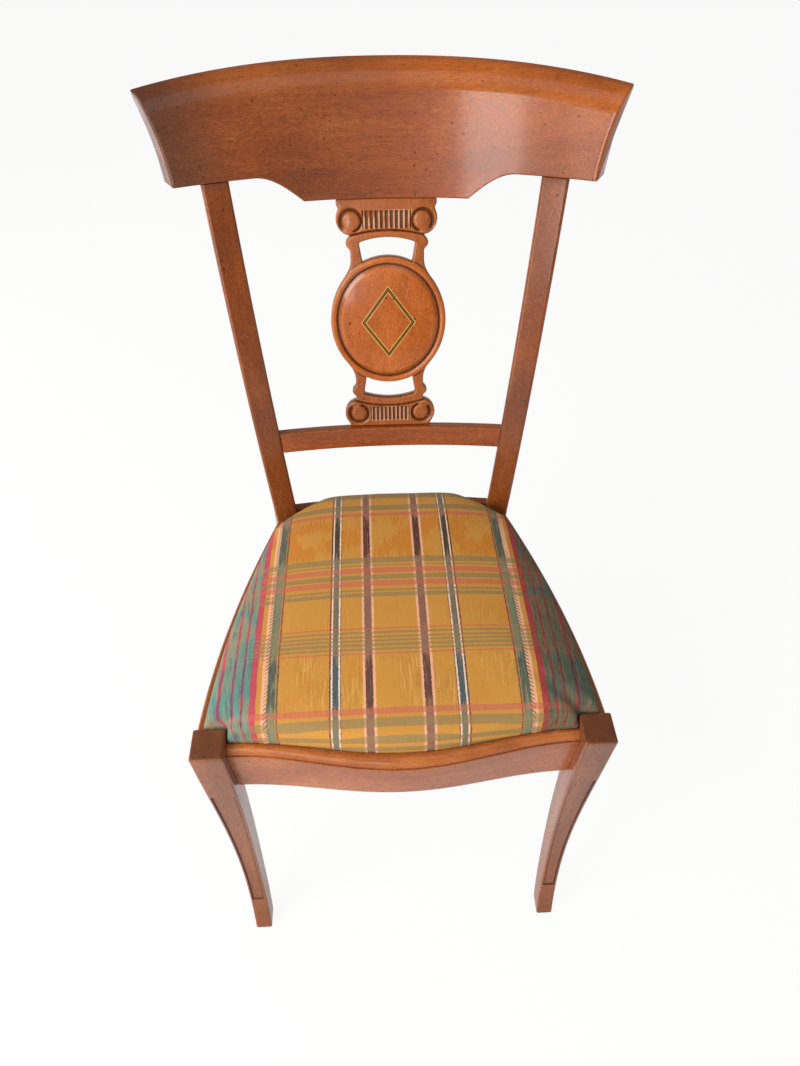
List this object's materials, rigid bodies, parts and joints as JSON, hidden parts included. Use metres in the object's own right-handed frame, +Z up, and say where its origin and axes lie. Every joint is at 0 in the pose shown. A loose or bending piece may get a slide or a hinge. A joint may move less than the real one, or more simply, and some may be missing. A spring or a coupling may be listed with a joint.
{
  "type": "dining chair",
  "caption": "Dining chair with a curved crest rail, a carved splat with a round medallion, sabre legs and a drop-in seat covered in plaid cloth.",
  "frame": {"origin": "on the floor, under the middle of the chair's outer box", "axes": "+Z up, +Y towards the back of the chair, +X to the right as seen from the front"},
  "size_m": [0.5306, 0.628, 0.974],
  "materials": {
    "wood": "semi-gloss lacquer over reddish brown stain, lightly aged",
    "inner_wood": "bare beech",
    "dark_inlay": "dyed wood under lacquer",
    "light_inlay": "pale wood under lacquer",
    "steel": "zinc plated",
    "webbing": "woven elastic band",
    "foam": "open foam",
    "plaid": "woven plaid in mustard, green, plum and cream",
    "dust_cover": "thin spun cloth"
  },
  "bodies": {
    "frame": {"left_front_leg": "wood", "right_front_leg": "wood", "left_rear_post": "wood", "right_rear_post": "wood", "left_side_rail": "wood", "right_side_rail": "wood", "front_rail": "wood", "rear_rail": "wood", "crest_rail": "wood", "cross_rail": "wood", "splat": "wood", "outer_stringing": "light_inlay", "inner_stringing": "light_inlay", "left_upper_diamond_band": "dark_inlay", "left_lower_diamond_band": "dark_inlay", "right_upper_diamond_band": "dark_inlay", "right_lower_diamond_band": "dark_inlay", "left_front_rail_dowel_1": "inner_wood", "left_front_rail_dowel_2": "inner_wood", "left_side_rail_front_dowel_1": "inner_wood", "left_side_rail_front_dowel_2": "inner_wood", "left_side_rail_rear_dowel_1": "inner_wood", "left_side_rail_rear_dowel_2": "inner_wood", "left_rear_rail_dowel_1": "inner_wood", "left_rear_rail_dowel_2": "inner_wood", "right_front_rail_dowel_1": "inner_wood", "right_front_rail_dowel_2": "inner_wood", "right_side_rail_front_dowel_1": "inner_wood", "right_side_rail_front_dowel_2": "inner_wood", "right_side_rail_rear_dowel_1": "inner_wood", "right_side_rail_rear_dowel_2": "inner_wood", "right_rear_rail_dowel_1": "inner_wood", "right_rear_rail_dowel_2": "inner_wood", "left_front_corner_block": "inner_wood", "left_front_corner_block_screw_1": "steel", "left_front_corner_block_screw_2": "steel", "left_rear_corner_block": "inner_wood", "left_rear_corner_block_screw_1": "steel", "left_rear_corner_block_screw_2": "steel", "right_front_corner_block": "inner_wood", "right_front_corner_block_screw_1": "steel", "right_front_corner_block_screw_2": "steel", "right_rear_corner_block": "inner_wood", "right_rear_corner_block_screw_1": "steel", "right_rear_corner_block_screw_2": "steel"},
    "seat": {"seat_frame_front": "inner_wood", "seat_frame_rear": "inner_wood", "seat_frame_left": "inner_wood", "seat_frame_right": "inner_wood", "webbing_1": "webbing", "webbing_2": "webbing", "webbing_3": "webbing", "webbing_4": "webbing", "foam_pad": "foam", "seat_cover": "plaid", "dust_cover": "dust_cover"}
  },
  "joints": [
    {"name": "seat_lift", "type": "slide", "parent": "frame", "child": "seat", "axis": [0, 0, 1], "range_m": [0, 0.12]}
  ]
}
